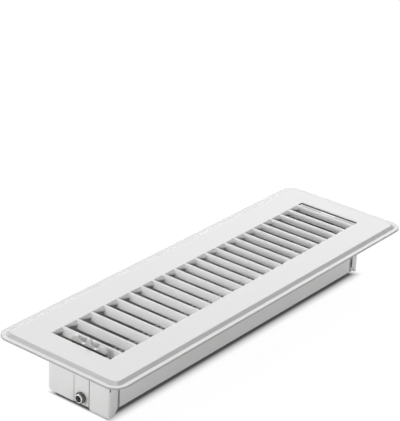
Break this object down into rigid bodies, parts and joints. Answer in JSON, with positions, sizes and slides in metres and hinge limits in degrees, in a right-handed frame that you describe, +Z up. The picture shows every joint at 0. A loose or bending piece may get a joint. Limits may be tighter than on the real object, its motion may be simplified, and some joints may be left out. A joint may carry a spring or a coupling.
{
  "type": "floor register",
  "caption": "Drop-in floor register with a louvred face plate on a shallow duct box and a foot lever that works a two-leaf damper inside",
  "frame": {"origin": "centre of the bounding box in plan, at the foot of the duct box", "axes": "+X along the length from the lever end to the plain end, +Y across, +Z up out of the floor"},
  "size_m": [0.2922, 0.0952, 0.0428],
  "materials": {
    "paint": "white gloss enamel",
    "steel": "zinc-plated steel"
  },
  "bodies": {
    "register_body": {"face_plate": "paint", "left_side_wall": "paint", "right_side_wall": "paint", "near_end_inner_panel": "paint", "near_end_outer_panel": "paint", "far_end_inner_panel": "paint", "far_end_outer_panel": "paint", "near_damper_bracket": "paint", "far_damper_bracket": "paint", "spacer_bush": "steel", "spring_washer": "steel"},
    "lever_arm": {"lever": "paint", "pivot_tube": "steel", "retaining_ring": "steel"},
    "left_leaf": {"left_damper_leaf": "paint", "near_left_axle_pin": "steel", "far_left_axle_pin": "steel", "left_tie_pin": "steel"},
    "right_leaf": {"right_damper_leaf": "paint", "near_right_axle_pin": "steel", "far_right_axle_pin": "steel", "right_tie_pin": "steel", "drive_pin": "steel"},
    "tie_link": {"tie_bar": "steel"}
  },
  "joints": [
    {"name": "lever_pivot", "type": "hinge", "parent": "register_body", "child": "lever_arm", "pos_m": [-0.119, -0.002, 0.0058], "axis": [1, 0, 0], "range_deg": [-17, 9]},
    {"name": "left_leaf_pivot", "type": "hinge", "parent": "register_body", "child": "left_leaf", "pos_m": [0, 0.0116, 0.0135], "axis": [1, 0, 0], "range_deg": [-54.5, 28.9]},
    {"name": "right_leaf_pivot", "type": "hinge", "parent": "register_body", "child": "right_leaf", "pos_m": [0, -0.0116, 0.0135], "axis": [1, 0, 0], "range_deg": [-54.5, 28.9]},
    {"name": "tie_bar_pivot", "type": "hinge", "parent": "right_leaf", "child": "tie_link", "pos_m": [0.11735, -0.01293, 0.01935], "axis": [1, 0, 0], "range_deg": [-28.9, 54.5]}
  ],
  "couplings": [
    {"joint": "left_leaf_pivot", "follows": "lever_pivot", "ratio": 3.2},
    {"joint": "right_leaf_pivot", "follows": "lever_pivot", "ratio": 3.2},
    {"joint": "tie_bar_pivot", "follows": "lever_pivot", "ratio": -3.2}
  ]
}
